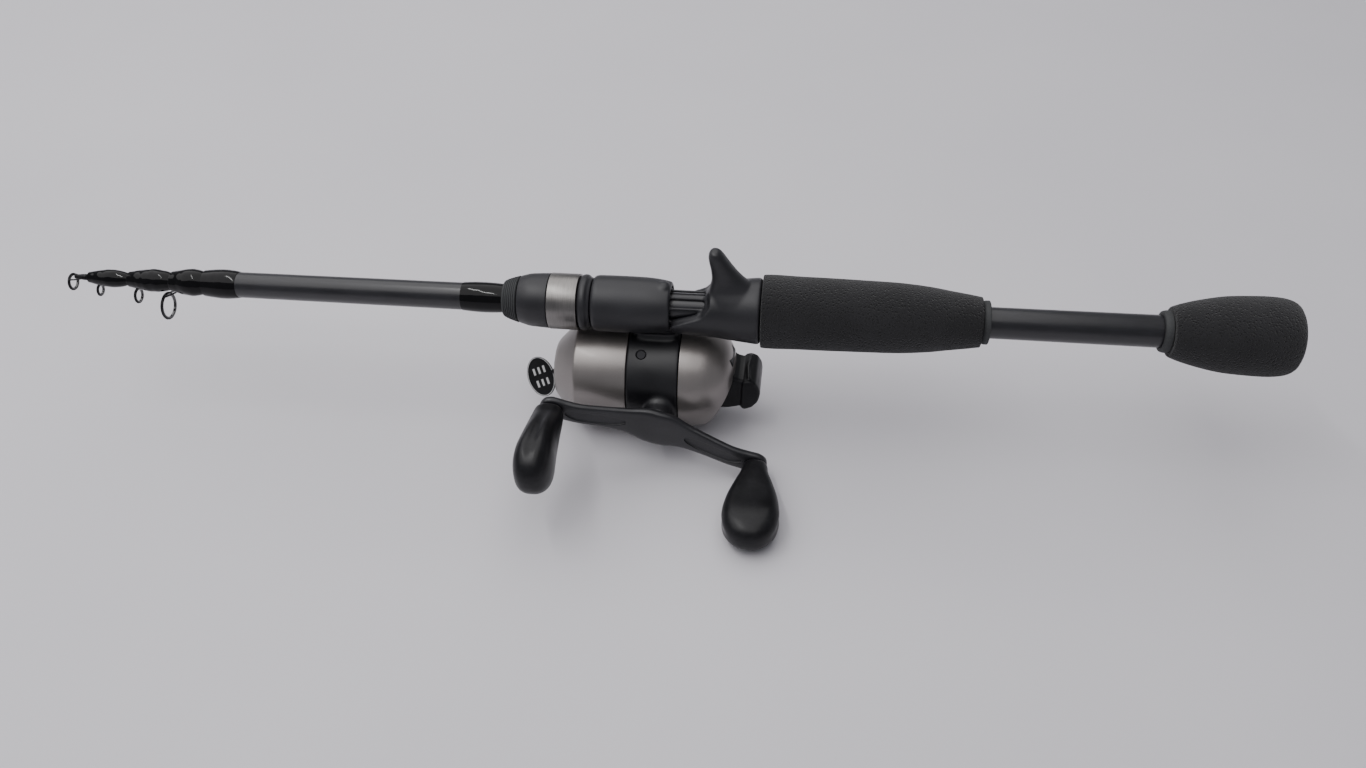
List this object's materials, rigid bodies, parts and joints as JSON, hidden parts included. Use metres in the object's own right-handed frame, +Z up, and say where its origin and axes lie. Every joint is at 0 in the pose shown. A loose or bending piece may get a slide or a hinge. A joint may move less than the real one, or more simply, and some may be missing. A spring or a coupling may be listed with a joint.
{
  "type": "fishing rod and reel",
  "caption": "Short telescopic fishing rod lying closed, with a closed-face reel clamped under its trigger seat, a double crank, foam grips and hanging line guides.",
  "frame": {"origin": "middle of the bounding box's underside, on the surface that the reel lies on", "axes": "+X along the rod from the tip-top to the butt, +Y away from the crank handles, +Z up, from the reel to the trigger"},
  "size_m": [0.5692, 0.1176, 0.0989],
  "materials": {
    "blank": "satin black lacquered glass fibre",
    "epoxy": "thread winding under clear gloss epoxy",
    "guide_wire": "black coated stainless wire",
    "wear_ring": "polished black",
    "foam": "ground EVA foam, dull",
    "check_rubber": "dull dark rubber",
    "seat_plastic": "satin moulded nylon",
    "trim": "turned and brushed, warm",
    "cover_metal": "satin anodised, warm grey",
    "body_plastic": "fine textured moulding",
    "gloss_black": "polished moulding",
    "crank_metal": "satin black coated zinc",
    "steel": "turned",
    "brass": "machined",
    "spool_plastic": "natural acetal",
    "line": "clear nylon line, wound",
    "felt": "oiled drag felt"
  },
  "bodies": {
    "rod": {"butt_section": "blank", "winding_butt": "epoxy", "winding_front": "epoxy", "butt_knob": "foam", "butt_plug": "check_rubber", "butt_check": "check_rubber", "rear_grip": "foam", "grip_check": "check_rubber", "reel_seat": "seat_plastic", "reel_body": "body_plastic", "band_screw": "steel", "front_cover": "cover_metal", "line_eyelet": "steel", "rear_cover": "cover_metal", "button_pin": "steel", "crank_bushing": "brass", "drag_washer": "felt"},
    "section_2_body": {"section_2": "blank", "winding_2": "epoxy", "guide_large": "guide_wire", "guide_large_ring": "wear_ring"},
    "section_3_body": {"section_3": "blank", "winding_3": "epoxy", "guide_middle": "guide_wire", "guide_middle_ring": "wear_ring"},
    "section_4_body": {"section_4": "blank", "winding_4": "epoxy", "guide_small": "guide_wire", "guide_small_ring": "wear_ring"},
    "tip_body": {"tip_section": "blank", "tip_top": "guide_wire", "tip_top_ring": "wear_ring"},
    "hood": {"sliding_hood": "seat_plastic"},
    "nut": {"lock_nut": "seat_plastic", "trim_ring": "trim", "nut_flange": "seat_plastic", "nut_collar": "check_rubber"},
    "crank": {"crank_arm": "crank_metal", "crank_shaft": "steel", "drive_gear": "brass", "ratchet_wheel": "steel", "knob_rivet_front": "steel", "knob_rivet_rear": "steel"},
    "front_handle": {"knob_front": "gloss_black"},
    "rear_handle": {"knob_rear": "gloss_black"},
    "button": {"thumb_button": "gloss_black"},
    "plunger": {"centre_shaft": "steel", "shaft_spring": "steel"},
    "spinner": {"spinner_head": "steel", "spinner_nut": "brass"},
    "pickup": {"pickup_pin": "steel"},
    "pinion_gear": {"pinion": "brass"},
    "spool_body": {"spool": "spool_plastic", "wound_line": "line"},
    "dial": {"drag_dial": "gloss_black"},
    "pawl_body": {"pawl": "steel"},
    "tag": {"line_tag": "gloss_black"}
  },
  "joints": [
    {"name": "section_2_slide", "type": "slide", "parent": "rod", "child": "section_2_body", "axis": [-1, 0, 0], "range_m": [0, 0.3143]},
    {"name": "section_3_slide", "type": "slide", "parent": "section_2_body", "child": "section_3_body", "axis": [-1, 0, 0], "range_m": [0, 0.3143]},
    {"name": "section_4_slide", "type": "slide", "parent": "section_3_body", "child": "section_4_body", "axis": [-1, 0, 0], "range_m": [0, 0.3143]},
    {"name": "tip_slide", "type": "slide", "parent": "section_4_body", "child": "tip_body", "axis": [-1, 0, 0], "range_m": [0, 0.3143]},
    {"name": "hood_slide", "type": "slide", "parent": "rod", "child": "hood", "axis": [-1, 0, 0], "range_m": [0, 0.0105]},
    {"name": "nut_turn", "type": "hinge", "parent": "hood", "child": "nut", "pos_m": [-0.04337, 0.03195, 0.0661], "axis": [1, 0, 0], "range_deg": [0, 1890]},
    {"name": "crank_spin", "type": "hinge", "parent": "rod", "child": "crank", "pos_m": [0.00662, 0.00195, 0.0235], "axis": [0, 1, 0], "continuous": true},
    {"name": "front_handle_spin", "type": "hinge", "parent": "crank", "child": "front_handle", "pos_m": [-0.0401, -0.02805, 0.03757], "axis": [0, 1, 0], "continuous": true},
    {"name": "rear_handle_spin", "type": "hinge", "parent": "crank", "child": "rear_handle", "pos_m": [0.05335, -0.02805, 0.00943], "axis": [0, 1, 0], "continuous": true},
    {"name": "button_press", "type": "hinge", "parent": "rod", "child": "button", "pos_m": [0.03463, 0.03195, 0.039], "axis": [0, 1, 0], "range_deg": [0, 10], "stiffness_Nm_per_rad": 0.5, "springref_deg": -8.59},
    {"name": "plunger_push", "type": "slide", "parent": "rod", "child": "plunger", "axis": [-1, 0, 0], "range_m": [0, 0.00262]},
    {"name": "spinner_spin", "type": "hinge", "parent": "plunger", "child": "spinner", "pos_m": [-0.02337, 0.03195, 0.0255], "axis": [1, 0, 0], "continuous": true},
    {"name": "pickup_retract", "type": "slide", "parent": "spinner", "child": "pickup", "axis": [0, 0, -1], "range_m": [0, 0.0018]},
    {"name": "pinion_spin", "type": "hinge", "parent": "rod", "child": "pinion_gear", "pos_m": [0.00662, 0.03195, 0.0255], "axis": [1, 0, 0], "continuous": true},
    {"name": "spool_slip", "type": "hinge", "parent": "rod", "child": "spool_body", "pos_m": [-0.01638, 0.03195, 0.0255], "axis": [1, 0, 0], "continuous": true},
    {"name": "drag_dial_turn", "type": "hinge", "parent": "rod", "child": "dial", "pos_m": [0.00562, 0.05195, 0.0255], "axis": [1, 0, 0], "range_deg": [-150, 150]},
    {"name": "pawl_lift", "type": "hinge", "parent": "rod", "child": "pawl_body", "pos_m": [-0.00487, 0.02125, 0.0165], "axis": [0, 1, 0], "range_deg": [-6, 4]},
    {"name": "tag_swing", "type": "hinge", "parent": "rod", "child": "tag", "pos_m": [-0.04537, 0.03195, 0.0255], "axis": [0, 1, 0], "range_deg": [-8, 50]}
  ],
  "couplings": [
    {"joint": "hood_slide", "follows": "nut_turn", "m_per_rad": 0.00031831},
    {"joint": "spinner_spin", "follows": "crank_spin", "ratio": 3.6},
    {"joint": "pinion_spin", "follows": "crank_spin", "ratio": 3.6},
    {"joint": "plunger_push", "follows": "button_press", "m_per_rad": 0.015},
    {"joint": "pickup_retract", "follows": "button_press", "m_per_rad": 0.010313}
  ]
}
